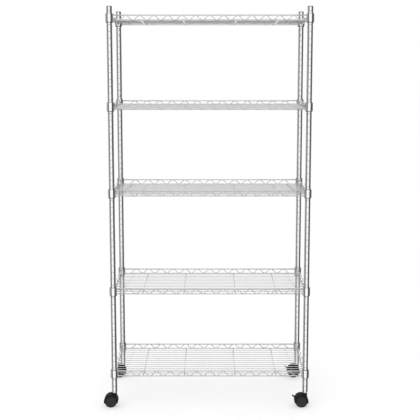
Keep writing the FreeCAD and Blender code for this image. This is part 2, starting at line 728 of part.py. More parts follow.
def brake_pedal(label, side, depth):
    """Foot tab outside the hood on an arm that pivots inside the web."""
    body = new_body(label)
    half = "dims.pedal_thickness/2"
    for name, start, width in (
        ("arm", "dims.pedal_toe", "dims.pedal_arm"),
        ("tread", "dims.pedal_root", "dims.pedal_width"),
    ):
        profile = new_sketch(body, f"{label}_{name}_profile", "XZ_Plane")
        outline(profile, (
            along_pedal(start, f"-{half}"),
            along_pedal("dims.pedal_tip", f"-{half}"),
            along_pedal("dims.pedal_tip", half),
            along_pedal(start, half),
        ))
        extrude(body, "Pad", f"{label}_{name}", profile, width, midplane=True)
    eye = new_sketch(body, f"{label}_eye_profile", "XZ_Plane")
    ring(eye, *along_pedal("dims.pedal_pivot", "0"), "dims.pivot_eye")
    extrude(body, "Pad", f"{label}_eye", eye, "dims.pedal_arm", midplane=True)
    hole = new_sketch(body, f"{label}_hole", "XZ_Plane")
    radius = "dims.pivot_dia/2 + dims.axle_gap"
    ring(hole, *along_pedal("dims.pedal_pivot", "0"), radius)
    extrude(body, "Pocket", f"{label}_bore", hole, "2*dims.pedal_arm", midplane=True)
    place_caster_part(body, side, depth)


def brake_pin(label, side, depth):
    """Steel pin in the hood's web that the pedal swings on."""
    body = new_body(label)
    section = new_sketch(body, f"{label}_section", "XZ_Plane")
    ring(section, *along_pedal("dims.pedal_pivot", "0"), "dims.pivot_dia/2")
    extrude(body, "Pad", f"{label}_rod", section, "2*dims.web_half", midplane=True)
    place_caster_part(body, side, depth)


caster_stems()
for corner, side, depth in CORNERS:
    braked = side == RIGHT
    hood(f"caster_{corner}_hood", side, depth, braked)
    axle(f"caster_{corner}_axle", side, depth)
    wheel(f"caster_{corner}_wheel_front", side, depth, FRONT)
    wheel(f"caster_{corner}_wheel_back", side, depth, BACK)
    if braked:
        brake_pedal(f"caster_{corner}_brake_pedal", side, depth)
        brake_pin(f"caster_{corner}_brake_pin", side, depth)


# ---- Check and write ------------------------------------------------------------------------

doc.recompute()
for item in doc.Objects:
    if "Invalid" in item.State or "Error" in item.State:
        raise RuntimeError(f"{item.Label} failed: {item.State}")
os.makedirs("parts", exist_ok=True)
for body in doc.findObjects("PartDesign::Body"):
    shape = body.Shape
    if shape.isNull() or not shape.isValid() or not shape.Solids:
        raise RuntimeError(f"{body.Label} has no valid shape")
    shape.exportStep(f"parts/{body.Label}.step")
    print(f"{body.Label}: {len(shape.Solids)} solids, {shape.Volume:.0f} mm3")
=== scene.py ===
"""Looks of the five-tier wire shelving rack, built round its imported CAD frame.

Metres, +Z up, +X to the right along the shelves and the front at -Y. The posts, caps, collars,
sleeves and all the wires are modelled here and stand for their CAD nodes. The casters, stems,
studs and threaded inserts keep their CAD shapes and get their materials here.
"""

import math
import random

import bpy
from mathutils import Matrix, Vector


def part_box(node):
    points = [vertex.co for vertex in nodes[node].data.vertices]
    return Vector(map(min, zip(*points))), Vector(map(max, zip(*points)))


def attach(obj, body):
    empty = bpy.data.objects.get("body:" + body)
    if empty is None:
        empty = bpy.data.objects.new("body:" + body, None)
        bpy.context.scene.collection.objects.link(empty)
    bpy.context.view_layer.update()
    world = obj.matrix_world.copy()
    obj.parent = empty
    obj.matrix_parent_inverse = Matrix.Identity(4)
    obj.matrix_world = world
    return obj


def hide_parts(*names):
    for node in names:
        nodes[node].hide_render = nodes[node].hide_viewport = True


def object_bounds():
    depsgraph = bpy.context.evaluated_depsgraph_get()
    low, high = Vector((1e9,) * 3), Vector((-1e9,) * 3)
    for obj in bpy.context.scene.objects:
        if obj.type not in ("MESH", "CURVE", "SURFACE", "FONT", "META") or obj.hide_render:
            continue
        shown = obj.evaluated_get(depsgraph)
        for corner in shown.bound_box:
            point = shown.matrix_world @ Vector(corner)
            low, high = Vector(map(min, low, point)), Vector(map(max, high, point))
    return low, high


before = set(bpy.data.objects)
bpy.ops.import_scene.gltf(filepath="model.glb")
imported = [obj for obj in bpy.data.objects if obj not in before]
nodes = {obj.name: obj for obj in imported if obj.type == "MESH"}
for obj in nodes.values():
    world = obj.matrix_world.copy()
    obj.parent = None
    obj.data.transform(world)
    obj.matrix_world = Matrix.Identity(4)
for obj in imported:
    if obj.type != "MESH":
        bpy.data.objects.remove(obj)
cad_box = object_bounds()

MM = 0.001
CORNERS = ("front_left", "front_right", "back_left", "back_right")
TIERS = (1, 2, 3, 4, 5)
RACK = "rack"
UP = Vector((0, 0, 1))

# Posts: rolled grooves one inch apart, the first at a height above the section's foot. A groove's
# outline has its points at the stations, which are shares of its reach up and down.
POST_WALL = 1.2 * MM
POST_EDGE = 0.45 * MM
GROOVE_PITCH = 25.4 * MM
GROOVE_COUNT = 29
GROOVE_DEPTH = 0.6 * MM
GROOVE_REACH = 1.35 * MM
GROOVE_STATIONS = (-1.0, -0.8, -0.55, -0.3, 0.0, 0.3, 0.55, 0.8, 1.0)
FIRST_GROOVE = {"lower": 21.6 * MM, "upper": 6.6 * MM}

# Caps: a plug, a seam above the tube, a rounded edge and a low dome
CAP_PLUG = 12 * MM
CAP_SEAM = 0.25 * MM
CAP_SEAM_DEPTH = 0.3 * MM
CAP_INSET = 0.05 * MM
CAP_ROUND = 2.2 * MM
CAP_ROUND_BELOW_TOP = 2.6 * MM
CAP_DOME = 0.5 * MM
CAP_TIP = 0.02 * MM

# Collars: bores at both ends of the taper, as radii, and the rounding of the edges
COLLAR_BORE_TOP = 12.8 * MM
COLLAR_BORE_FOOT = 13.6 * MM
COLLAR_FOOT_ROUND = 0.8 * MM
COLLAR_TOP_ROUND = 2 * MM
COLLAR_MOUTH_ROUND = 0.4 * MM

# Split sleeves, from the middle of their collar
SLEEVE_TOP = 16.5 * MM
SLEEVE_FOOT = -18 * MM
SLEEVE_TOP_CHAMFER = 0.3 * MM
SLEEVE_FOOT_CHAMFER_IN = 0.4 * MM
SLEEVE_FOOT_CHAMFER_UP = 0.5 * MM
SLEEVE_SWEEP = math.radians(176)
SLEEVE_RIB = 0.5 * MM
SLEEVE_RIB_HALF = 0.6 * MM

# Wheels: painted shade on the tyre beyond the disc, in place of the shade on its rounded shoulder
# and under the hood. It starts in the groove round the disc, as a share of the wheel's radius
TYRE_SHADE_START = (0.87, 0.89)
PAINTED_TYRE_SHADE = 0.45

# Wires, by their radii
RAIL = 2.5 * MM
ZIGZAG = 1.7 * MM
DECK = 1.4 * MM
CROSS = 2 * MM
RAIL_HALF_GAP = 9.5 * MM
RAIL_INTO_COLLAR = 0.8 * MM
ZIGZAG_HALF_PITCH = 26 * MM
ZIGZAG_BEND = 5 * MM
ZIGZAG_TAIL = 6 * MM
LONG_HALF_WAVES = 13
SIDE_HALF_WAVES = 5
DECK_COUNT = 13
DECK_PITCH = 24.4 * MM
DECK_OVERHANG = 1 * MM
WELD_SINK = 0.3 * MM
CROSS_PLACES = (-260 * MM, -100 * MM, 100 * MM, 260 * MM)
DECK_SPANS = 12
DECK_SWAY = (0.05 * MM, 0.22 * MM)

# Weld beads, by half their sizes along X, Y and Z. Those of the zigzags and the collars have X and Y
# swapped where the rail runs from front to back.
ZIGZAG_BEAD = (2.4 * MM, 0.9 * MM, 1.5 * MM)
CROSSING_BEAD = (1.9 * MM, 1.5 * MM, 0.6 * MM)
DECK_END_BEAD = (1.5 * MM, 1.7 * MM, 0.6 * MM)
CROSS_END_BEAD = (2.5 * MM, 1.2 * MM, 2.1 * MM)
COLLAR_BEAD = (1.3 * MM, 3.1 * MM, 3.1 * MM)
BEAD_OUT = 0.1 * MM
CROSS_END_OUT = 0.4 * MM
COLLAR_BEAD_SINK = 0.2 * MM

# How finely round things are divided
POST_SIDES = 48
COLLAR_SIDES = 72
SLEEVE_STEPS = 28
WIRE_SIDES = 16
THIN_WIRE_SIDES = 12
BEND_STEPS = 6

# Studio: how bright the camera sees the backdrop, and how bright the rest lights the rack
BACKDROP = 1.0
SURROUNDINGS = 1.07
FLOOR_SIZE = 80
FLOOR_GLOW = 0.40

# Studio: how bright reflections see each panel
FRONT_PANEL = 1.15
BACK_PANEL = 1.15
LEFT_FILL = 0.45
RIGHT_FILL = 0.15
FILL_BEHIND_PANELS = 0.1
CEILING = 0.62
GROUND = 0.05

# Studio: the panels' soft edges, in degrees round from the front or up from the horizon
FRONT_SIDES = (34, 50)
FRONT_TOP = (48, 62)
FRONT_FOOT = (-52, -30)
BACK_SIDES = (138, 152)
BACK_TOP_AND_FOOT = (28, 44)
FILL_SIDES = (60, 78)
FILL_FOOT = (-44, -34)
CEILING_EDGE = (46, 70)
GROUND_EDGE = (-70, -46)

# Studio: how far to the left and right of the middle the two fills pass into each other, as the
# sideways part of a direction of length 1
FILL_BLEND = 0.349

# Lamp
LAMP_PLACE = (-1.2, -2.0, 2.8)
LAMP_AIM_HEIGHT = 0.6
LAMP_SIZE = (2.4, 1.6)
LAMP_POWER = 16

# Camera
LENS = 73.79
SENSOR = 36
SHIFT = -0.08
CAMERA_ASIDE = 0.0009
CAMERA_DISTANCE = 3.417
CAMERA_HEIGHT = 1.328
CAMERA_TILT = 7.286
FAR_ENOUGH = 200


def middle(node):
    """Middle of a CAD node's box."""
    low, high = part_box(node)
    return (low + high) / 2


posts = {corner: middle(f"post_{corner}_lower") for corner in CORNERS}
post_radius = (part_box("post_front_left_lower")[1].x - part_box("post_front_left_lower")[0].x) / 2
left, right = posts["front_left"].x, posts["front_right"].x
front, back = posts["front_left"].y, posts["back_left"].y
centre_x = (left + right) / 2
deck_rows = [(index - (DECK_COUNT - 1) / 2) * DECK_PITCH for index in range(DECK_COUNT)]
tier_height = {tier: middle(f"shelf_{tier}_collars").z for tier in TIERS}
collar_low, collar_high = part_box("shelf_1_collars")
collar_half = (collar_high.z - collar_low.z) / 2
collar_radius = collar_high.x - right


# ---- Mesh making ----------------------------------------------------------------------------

class Shape:
    """Points and faces of one piece while it is being made."""

    def __init__(self):
        self.points = []
        self.faces = []

    def skin(self, rings, joined=False):
        """Joins equal rings of points, each turning counterclockwise about the way ahead.

        Joined closes the last ring onto the first; otherwise both ends are filled.
        """
        start = len(self.points)
        size = len(rings[0])
        for ring in rings:
            self.points.extend(ring)
        for a in range(len(rings) - (0 if joined else 1)):
            b = (a + 1) % len(rings)
            for i in range(size):
                j = (i + 1) % size
                corners = ((a, i), (a, j), (b, j), (b, i))
                self.faces.append(tuple(start + r * size + k for r, k in corners))
        if not joined:
            last = start + (len(rings) - 1) * size
            self.faces.append(tuple(range(start + size - 1, start - 1, -1)))
            self.faces.append(tuple(range(last, last + size)))

    def lathe(self, outline, centre, sides, closed=True):
        """Turns an outline of (radius, height) pairs, counterclockwise, about the vertical."""
        turns = [2 * math.pi * side / sides for side in range(sides)]
        rings = [
            [centre + Vector((r * math.cos(a), r * math.sin(a), z)) for a in turns]
            for r, z in outline
        ]
        self.skin(rings, joined=closed)

    def arc_lathe(self, outline, centre, middle_angle, sweep, steps):
        """Turns a closed outline through part of a circle and fills both ends."""
        rings = []
        for step in range(steps + 1):
            a = middle_angle + sweep * (step / steps - 0.5)
            rings.append([
                centre + Vector((r * math.cos(a), r * math.sin(a), z))
                for r, z in reversed(outline)
            ])
        self.skin(rings)

    def wire(self, path, radius, flat_normal, sides):
        """Round wire along a path in one plane, with its end edges rounded off."""
        ahead = [
            (path[min(i + 1, len(path) - 1)] - path[max(i - 1, 0)]).normalized()
            for i in range(len(path))
        ]
        ends = ((0.35, 0.66), (0.12, 0.93), (0.0, 1.0))
        stations = [(path[0] - ahead[0] * radius * out, ahead[0], size) for out, size in ends]
        stations += [(point, way, 1.0) for point, way in zip(path[1:-1], ahead[1:-1])]
        stations += [
            (path[-1] + ahead[-1] * radius * out, ahead[-1], size) for out, size in reversed(ends)
        ]
        rings = []
        for point, way, size in stations:
            across = way.cross(flat_normal)
            ring = []
            for side in range(sides):
                a = 2 * math.pi * side / sides
                turned = flat_normal * math.cos(a) + across * math.sin(a)
                ring.append(point + turned * radius * size)
            rings.append(ring)
        self.skin(rings)

    def bead(self, centre, radii, sides=12, bands=7):
        """Small rounded lump of weld metal."""
        rings = []
        for band in range(bands):
            tilt = math.pi * ((band + 0.5) / bands - 0.5)
            ring = []
            for side in range(sides):
                a = 2 * math.pi * side / sides
                flat = math.cos(tilt)
                unit = (flat * math.cos(a), flat * math.sin(a), math.sin(tilt))
                ring.append(centre + Vector([r * u for r, u in zip(radii, unit)]))
            rings.append(ring)
        self.skin(rings)

    def piece(self, name, material, body, replaced=(), sharp=38):
        """Makes the object, shades it smooth between its sharp edges and hangs it on its body."""
        mesh = bpy.data.meshes.new(name)
        mesh.from_pydata([tuple(p) for p in self.points], [], self.faces)
        mesh.polygons.foreach_set("use_smooth", [True] * len(mesh.polygons))
        mesh.set_sharp_from_angle(angle=math.radians(sharp))
        mesh.materials.append(material)
        made = bpy.data.objects.new(name, mesh)
        bpy.context.scene.collection.objects.link(made)
        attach(made, body)
        if replaced:
            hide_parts(*replaced)
        return made


def arc(centre_r, centre_z, radius, start, end, steps):
    """Points of an outline's round corner, from one angle to another, in degrees."""
    made = []
    for step in range(steps + 1):
        a = math.radians(start + (end - start) * step / steps)
        made.append((centre_r + radius * math.cos(a), centre_z + radius * math.sin(a)))
    return made


# ---- Materials ------------------------------------------------------------------------------

class Nodes:
    """A shader's node tree while it is being put together."""

    def __init__(self, tree):
        self.tree = tree

    def add(self, kind, **settings):
        """Adds a node and sets its options."""
        made = self.tree.nodes.new(kind)
        for key, value in settings.items():
            setattr(made, key, value)
        return made

    def join(self, value, target):
        """Links another node's output to a socket, or sets the socket to a number."""
        if isinstance(value, (int, float)):
            target.default_value = value
        else:
            self.tree.links.new(value, target)

    def maths(self, operation, *values):
        """One sum, product or the like of outputs and numbers."""
        made = self.add("ShaderNodeMath", operation=operation)
        for index, value in enumerate(values):
            self.join(value, made.inputs[index])
        return made.outputs["Value"]


class Finish(Nodes):
    """A material under construction: a Principled shader and the textures that drive it."""

    def __init__(self, name):
        self.material = bpy.data.materials.new(name)
        self.material.use_nodes = True
        super().__init__(self.material.node_tree)
        self.shader = self.tree.nodes["Principled BSDF"]
        self.coordinates = self.add("ShaderNodeTexCoord").outputs["Object"]

    def fix(self, **values):
        """Values that are the same all over the surface."""
        for name, value in values.items():
            self.shader.inputs[name.replace("_", " ")].default_value = value

    def noise(self, per_metre, stretch=(1, 1, 1), detail=3.0, roughness=0.55):
        """Noise with the given number of features to a metre, drawn out by the stretch."""
        mapping = self.add("ShaderNodeMapping")
        mapping.inputs["Scale"].default_value = [per_metre / s for s in stretch]
        self.join(self.coordinates, mapping.inputs["Vector"])
        texture = self.add("ShaderNodeTexNoise")
        texture.inputs["Scale"].default_value = 1.0
        texture.inputs["Detail"].default_value = detail
        texture.inputs["Roughness"].default_value = roughness
        self.join(mapping.outputs["Vector"], texture.inputs["Vector"])
        return texture.outputs["Fac"]

    def spread(self, value, low, high, start=0.35, end=0.65):
        """Remaps a texture so that start to end becomes low to high."""
        remap = self.add("ShaderNodeMapRange")
        for name, number in (
            ("From Min", start), ("From Max", end), ("To Min", low), ("To Max", high),
        ):
            remap.inputs[name].default_value = number
        self.join(value, remap.inputs["Value"])
        return remap.outputs["Result"]

    def colours(self, value, *stops):
        """Base colour along a ramp between two (place, colour) stops."""
        ramp = self.add("ShaderNodeValToRGB")
        for element, (place, colour) in zip(ramp.color_ramp.elements, stops):
            element.position = place
            element.color = (*colour, 1)
        self.join(value, ramp.inputs["Fac"])
        self.join(ramp.outputs["Color"], self.shader.inputs["Base Color"])

    def darken(self, share):
        """Scales the base colour that is already there."""
        base = self.shader.inputs["Base Color"]
        scaled = self.add("ShaderNodeVectorMath", operation="SCALE")
        self.join(base.links[0].from_socket, scaled.inputs[0])
        self.join(share, scaled.inputs["Scale"])
        self.join(scaled.outputs["Vector"], base)

    def from_axle(self):
        """Distance from the middle of the object's box across Y: 0 at the axle, 1 at the rim."""
        centred = self.add("ShaderNodeVectorMath", operation="MULTIPLY_ADD")
        self.join(self.add("ShaderNodeTexCoord").outputs["Generated"], centred.inputs[0])
        centred.inputs[1].default_value = (2, 0, 2)
        centred.inputs[2].default_value = (-1, 0, -1)
        distance = self.add("ShaderNodeVectorMath", operation="LENGTH")
        self.join(centred.outputs["Vector"], distance.inputs[0])
        return distance.outputs["Value"]

    def roughness(self, *values):
        """Roughness as the sum of two textures, or as one."""
        whole = self.maths("ADD", *values) if len(values) == 2 else values[0]
        self.join(whole, self.shader.inputs["Roughness"])

    def bump(self, *layers):
        """Stacks bumps, each a (texture, height) pair."""
        under = None
        for value, height in layers:
            bump = self.add("ShaderNodeBump")
            bump.inputs["Strength"].default_value = 1.0
            bump.inputs["Distance"].default_value = height
            self.join(value, bump.inputs["Height"])
            if under:
                self.join(under, bump.inputs["Normal"])
            under = bump.outputs["Normal"]
        self.join(under, self.shader.inputs["Normal"])


def grey(level, warmth=0.0):
    """A grey, a little warm or cold."""
    return (level * (1 + warmth), level, level * (1 - warmth))


def chrome(name, grain):
    """Bright plate over steel. The grain says how far drawing marks run along each axis."""
    finish = Finish(name)
    finish.fix(Metallic=1.0)
    clouds = finish.noise(14, detail=4)
    finish.colours(clouds, (0.3, grey(0.81, -0.006)), (0.7, grey(0.86, -0.002)))
    drawn = finish.noise(900, grain, detail=2)
    smudges = finish.noise(45, detail=5, roughness=0.65)
    finish.roughness(
        finish.spread(drawn, 0.05, 0.10), finish.spread(smudges, 0.0, 0.07, 0.45, 0.75),
    )
    finish.bump((drawn, 0.000004), (finish.noise(2600, detail=2), 0.000003))
    return finish.material


def weld_metal():
    """Plated weld: the same chrome, duller and lumpier."""
    finish = Finish("plated_weld")
    finish.fix(Metallic=1.0)
    lumps = finish.noise(1300, detail=4)
    finish.colours(lumps, (0.3, grey(0.60, 0.01)), (0.7, grey(0.80)))
    finish.roughness(finish.spread(lumps, 0.36, 0.18))
    finish.bump((lumps, 0.00009))
    return finish.material


def zinc():
    """Zinc-plated steel of stems, studs, inserts, axles and pins."""
    finish = Finish("zinc_plate")
    finish.fix(Metallic=1.0)
    spangle = finish.noise(700, detail=3)
    finish.colours(spangle, (0.35, grey(0.52, -0.02)), (0.65, grey(0.66, -0.01)))
    turning = finish.noise(2200, (4, 4, 0.6), detail=2)
    finish.roughness(finish.spread(turning, 0.24, 0.40))
    finish.bump((turning, 0.00002))
    return finish.material


def moulded(name, dark, light, gloss, grain_height, dusty=0.0, shine=0.4, painted_tyre_shade=1.0):
    """Injection-moulded plastic with a fine spark-eroded grain and scuffs on its edges.

    A value below 1 makes the plastic of a wheel that share as bright beyond its disc. This is
    painted shade, in place of the shade on the tyre's rounded shoulder.
    """
    finish = Finish(name)
    finish.fix(Specular_IOR_Level=shine)
    mottle = finish.noise(160, detail=5, roughness=0.6)
    edges = finish.add("ShaderNodeNewGeometry").outputs["Pointiness"]
    worn = finish.spread(edges, 0.0, 1.0, 0.53, 0.62)
    scuffed = finish.maths(
        "MULTIPLY_ADD",
        worn, finish.spread(mottle, 0.2, 0.6), finish.spread(mottle, 0.0, 0.35 + dusty),
    )
    finish.colours(scuffed, (0.0, dark), (0.7, light))
    if painted_tyre_shade < 1:
        # Painted shade: the wheel's plastic is darker beyond its disc, in place of the shade on the
        # tyre's rounded shoulder
        finish.darken(finish.spread(finish.from_axle(), 1.0, painted_tyre_shade, *TYRE_SHADE_START))
    grain = finish.noise(2400, detail=3, roughness=0.6)
    finish.roughness(
        finish.spread(grain, gloss, gloss + 0.08), finish.spread(mottle, 0.0, 0.10),
    )
    finish.bump((finish.noise(380, detail=3), grain_height), (grain, grain_height))
    return finish.material


CHROME_POST = chrome("chrome_post", (1, 1, 40))
CHROME_COLLAR = chrome("chrome_collar", (6, 6, 1))
CHROME_WIRE = chrome("chrome_wire", (30, 3, 3))
WELD = weld_metal()
ZINC = zinc()
CAP_PLASTIC = moulded("grey_cap", grey(0.20), grey(0.27), 0.35, 0.000010)
SLEEVE_PLASTIC = moulded("dark_sleeve", grey(0.035), grey(0.06), 0.38, 0.000018)
HOOD_NYLON = moulded("black_nylon", grey(0.009), grey(0.020), 0.62, 0.000025, shine=0.15)
WHEEL_NYLON = moulded(
    "wheel_nylon", grey(0.020), grey(0.036), 0.52, 0.000020, dusty=0.2, shine=0.2, painted_tyre_shade=PAINTED_TYRE_SHADE,
)


# ---- Posts ----------------------------------------------------------------------------------

def post_outline(length, first_groove):
    """Section of a grooved tube, from its inner lower edge round to its inner upper edge."""
    bore = post_radius - POST_WALL
    outline = [(bore, 0.0)]
    outline += arc(post_radius - POST_EDGE, POST_EDGE, POST_EDGE, -90, 0, 3)
    for groove in range(GROOVE_COUNT):
        height = first_groove + groove * GROOVE_PITCH
        for share in GROOVE_STATIONS:
            dip = GROOVE_DEPTH * (0.5 + 0.5 * math.cos(math.pi * share))
            outline.append((post_radius - dip, height + share * GROOVE_REACH))
    outline += arc(post_radius - POST_EDGE, length - POST_EDGE, POST_EDGE, 0, 90, 3)
    outline.append((bore, length))
    return outline


def post_section(corner, section):
    """One grooved tube, the lower or the upper half of a post."""
    node = f"post_{corner}_{section}"
    low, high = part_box(node)
    tube = Shape()
    foot = Vector((posts[corner].x, posts[corner].y, low.z))
    tube.lathe(post_outline(high.z - low.z, FIRST_GROOVE[section]), foot, POST_SIDES)
    tube.piece(f"{node}_tube", CHROME_POST, RACK, [node])


def caps():
    """Low domed caps that plug into the posts, one to a post."""
    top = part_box("post_caps")[1].z
    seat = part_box("post_front_left_upper")[1].z
    head = top - seat
    rim = post_radius - CAP_INSET
    bore = post_radius - POST_WALL
    outline = [(CAP_TIP, -CAP_PLUG), (bore, -CAP_PLUG)]
    outline += [(bore, CAP_SEAM), (rim - CAP_SEAM_DEPTH, CAP_SEAM)]
    outline += arc(rim - CAP_ROUND, head - CAP_ROUND_BELOW_TOP, CAP_ROUND, 0, 68, 7)
    outline += [(rim * share, head - CAP_DOME * share ** 2) for share in (0.7, 0.5, 0.3, 0.1)]
    for corner in CORNERS:
        cap = Shape()
        foot = Vector((posts[corner].x, posts[corner].y, seat))
        cap.lathe(outline, foot, POST_SIDES, closed=False)
        stood_for = ["post_caps"] if corner == CORNERS[0] else []
        cap.piece(f"post_cap_{corner}", CAP_PLASTIC, RACK, stood_for)


# ---- Shelves --------------------------------------------------------------------------------

def collars(tier):
    """Four tapered collars."""
    height = tier_height[tier]
    outline = [(COLLAR_BORE_FOOT, -collar_half)]
    for centre_r, half, rounding, start, end, steps in (
        (collar_radius - COLLAR_FOOT_ROUND, -collar_half, COLLAR_FOOT_ROUND, -90, 0, 4),
        (collar_radius - COLLAR_TOP_ROUND, collar_half, COLLAR_TOP_ROUND, 0, 78, 6),
        (COLLAR_BORE_TOP + COLLAR_MOUTH_ROUND, collar_half, COLLAR_MOUTH_ROUND, 90, 180, 3),
    ):
        centre_z = half - math.copysign(rounding, half)
        outline += arc(centre_r, centre_z, rounding, start, end, steps)
    shape = Shape()
    for corner in CORNERS:
        centre = Vector((posts[corner].x, posts[corner].y, height))
        shape.lathe(outline, centre, COLLAR_SIDES)
    shape.piece(
        f"shelf_{tier}_tapered_collars", CHROME_COLLAR, RACK,
        [f"shelf_{tier}_collars"],
    )


def sleeves(tier):
    """Two halves round each post, each with its rib in a groove."""
    height = tier_height[tier]
    slope = (COLLAR_BORE_FOOT - COLLAR_BORE_TOP) / (2 * collar_half)
    halfway = (COLLAR_BORE_FOOT + COLLAR_BORE_TOP) / 2
    outline = [
        (post_radius, SLEEVE_FOOT),
        (halfway - slope * SLEEVE_FOOT - SLEEVE_FOOT_CHAMFER_IN, SLEEVE_FOOT),
        (halfway - slope * SLEEVE_FOOT, SLEEVE_FOOT + SLEEVE_FOOT_CHAMFER_UP),
        (halfway - slope * SLEEVE_TOP, SLEEVE_TOP - SLEEVE_TOP_CHAMFER),
        (halfway - slope * SLEEVE_TOP - SLEEVE_TOP_CHAMFER, SLEEVE_TOP),
        (post_radius, SLEEVE_TOP),
        (post_radius, SLEEVE_RIB_HALF + SLEEVE_RIB),
        (post_radius - SLEEVE_RIB, SLEEVE_RIB_HALF),
        (post_radius - SLEEVE_RIB, -SLEEVE_RIB_HALF),
        (post_radius, -SLEEVE_RIB_HALF - SLEEVE_RIB),
    ]
    shape = Shape()
    for corner in CORNERS:
        centre = Vector((posts[corner].x, posts[corner].y, height))
        for middle_angle in (0, math.pi):
            shape.arc_lathe(outline, centre, middle_angle, SLEEVE_SWEEP, SLEEVE_STEPS)
    shape.piece(
        f"shelf_{tier}_split_sleeves", SLEEVE_PLASTIC, RACK,
        [f"shelf_{tier}_sleeves"],
    )


def rails(tier):
    """Upper and lower rails on all four sides, let into the collars."""
    height = tier_height[tier]
    inset = collar_radius - RAIL_INTO_COLLAR
    shape = Shape()
    for level in (-RAIL_HALF_GAP, RAIL_HALF_GAP):
        z = height + level
        for y in (front, back):
            ends = [Vector((left + inset, y, z)), Vector((right - inset, y, z))]
            shape.wire(ends, RAIL, UP, WIRE_SIDES)
        for x in (left, right):
            ends = [Vector((x, front + inset, z)), Vector((x, back - inset, z))]
            shape.wire(ends, RAIL, UP, WIRE_SIDES)
    shape.piece(
        f"shelf_{tier}_edge_rails", CHROME_WIRE, RACK, [f"shelf_{tier}_rails"],
    )


def zigzag_path(half_waves):
    """(along, up) points of the zigzag wire: straight runs, round bends and straight tails."""
    centre_height = RAIL_HALF_GAP - ZIGZAG_BEND
    between = math.hypot(ZIGZAG_HALF_PITCH, 2 * centre_height)
    slope = math.atan2(2 * centre_height, ZIGZAG_HALF_PITCH)
    slope += math.asin(2 * ZIGZAG_BEND / between)
    points = [(-half_waves * ZIGZAG_HALF_PITCH - ZIGZAG_TAIL, -RAIL_HALF_GAP)]
    for index in range(-half_waves, half_waves + 1):
        level = 1 if (half_waves - index) % 2 else -1
        start = -slope if index > -half_waves else 0
        end = slope if index < half_waves else 0
        for step in range(BEND_STEPS + 1):
            a = start + (end - start) * step / BEND_STEPS
            along = index * ZIGZAG_HALF_PITCH + ZIGZAG_BEND * math.sin(a)
            points.append((along, level * (centre_height + ZIGZAG_BEND * math.cos(a))))
    points.append((half_waves * ZIGZAG_HALF_PITCH + ZIGZAG_TAIL, -RAIL_HALF_GAP))
    return points


def zigzags(tier):
    """Zigzag wires on the outer faces of the rails, round all four sides."""
    height = tier_height[tier]
    stand_off = RAIL + ZIGZAG
    shape = Shape()
    for y, out in ((front, -1), (back, 1)):
        path = [
            Vector((centre_x + along, y + out * stand_off, height + up))
            for along, up in zigzag_path(LONG_HALF_WAVES)
        ]
        shape.wire(path, ZIGZAG, Vector((0, 1, 0)), THIN_WIRE_SIDES)
    for x, out in ((left, -1), (right, 1)):
        path = [
            Vector((x + out * stand_off, along, height + up))
            for along, up in zigzag_path(SIDE_HALF_WAVES)
        ]
        shape.wire(path, ZIGZAG, Vector((1, 0, 0)), THIN_WIRE_SIDES)
    shape.piece(
        f"shelf_{tier}_zigzag_wires", CHROME_WIRE, RACK, [f"shelf_{tier}_snakes"],
    )


def deck_level(tier):
    """Height of the deck wires' axes, which rest on the lower rails."""
    return tier_height[tier] - RAIL_HALF_GAP + RAIL + DECK


def cross_level(tier):
    """Height of the cross wires' axes, welded under the deck wires."""
    return deck_level(tier) - DECK - CROSS + WELD_SINK


def deck(tier):
    """Mat of long wires on four cross wires. Each long wire is a hair out of true."""
    chance = random.Random(tier)
    shape = Shape()
    for y in deck_rows:
        sway = chance.uniform(*DECK_SWAY)
        phase = chance.uniform(0, 2 * math.pi)
        path = []
        for step in range(DECK_SPANS + 1):
            share = step / DECK_SPANS
            x = left - DECK_OVERHANG + (right - left + 2 * DECK_OVERHANG) * share
            bow = sway * math.sin(math.pi * share) * math.sin(5 * share + phase)
            path.append(Vector((x, y + bow, deck_level(tier))))
        shape.wire(path, DECK, UP, THIN_WIRE_SIDES)
    for place in CROSS_PLACES:
        x = centre_x + place
        z = cross_level(tier)
        ends = [Vector((x, front + RAIL, z)), Vector((x, back - RAIL, z))]
        shape.wire(ends, CROSS, UP, WIRE_SIDES)
    shape.piece(
        f"shelf_{tier}_deck_wires", CHROME_WIRE, RACK, [f"shelf_{tier}_deck"],
    )


def swapped(radii):
    """The same bead on a wire that runs from front to back."""
    along, across, up = radii
    return across, along, up


def zigzag_welds(shape, height):
    """Beads where the zigzag wires touch the rails."""
    touch = RAIL + BEAD_OUT
    for half_waves, sides in ((LONG_HALF_WAVES, (front, back)), (SIDE_HALF_WAVES, (left, right))):
        for index in range(-half_waves, half_waves + 1):
            along = index * ZIGZAG_HALF_PITCH
            z = height + (RAIL_HALF_GAP if (half_waves - index) % 2 else -RAIL_HALF_GAP)
            for side, out in zip(sides, (-1, 1)):
                if half_waves == LONG_HALF_WAVES:
                    centre = Vector((centre_x + along, side + out * touch, z))
                    shape.bead(centre, ZIGZAG_BEAD)
                else:
                    centre = Vector((side + out * touch, along, z))
                    shape.bead(centre, swapped(ZIGZAG_BEAD))


def deck_welds(shape, tier):
    """Beads on the cross wires, and where the deck and cross wires end on the rails."""
    on_rail = tier_height[tier] - RAIL_HALF_GAP + RAIL
    for y in deck_rows:
        for place in CROSS_PLACES:
            crossing = Vector((centre_x + place, y, deck_level(tier) - DECK + BEAD_OUT))
            shape.bead(crossing, CROSSING_BEAD)
        for x in (left, right):
            shape.bead(Vector((x, y, on_rail)), DECK_END_BEAD)
    for place in CROSS_PLACES:
        for y, inward in ((front, 1), (back, -1)):
            end = Vector((centre_x + place, y + inward * (RAIL + CROSS_END_OUT), cross_level(tier)))
            shape.bead(end, CROSS_END_BEAD)


def collar_welds(shape, height):
    """Beads where the rails end in the collars."""
    seam = collar_radius - COLLAR_BEAD_SINK
    for x, inward_x in ((left, 1), (right, -1)):
        for y, inward_y in ((front, 1), (back, -1)):
            for level in (-RAIL_HALF_GAP, RAIL_HALF_GAP):
                z = height + level
                shape.bead(Vector((x + inward_x * seam, y, z)), COLLAR_BEAD)
                shape.bead(Vector((x, y + inward_y * seam, z)), swapped(COLLAR_BEAD))


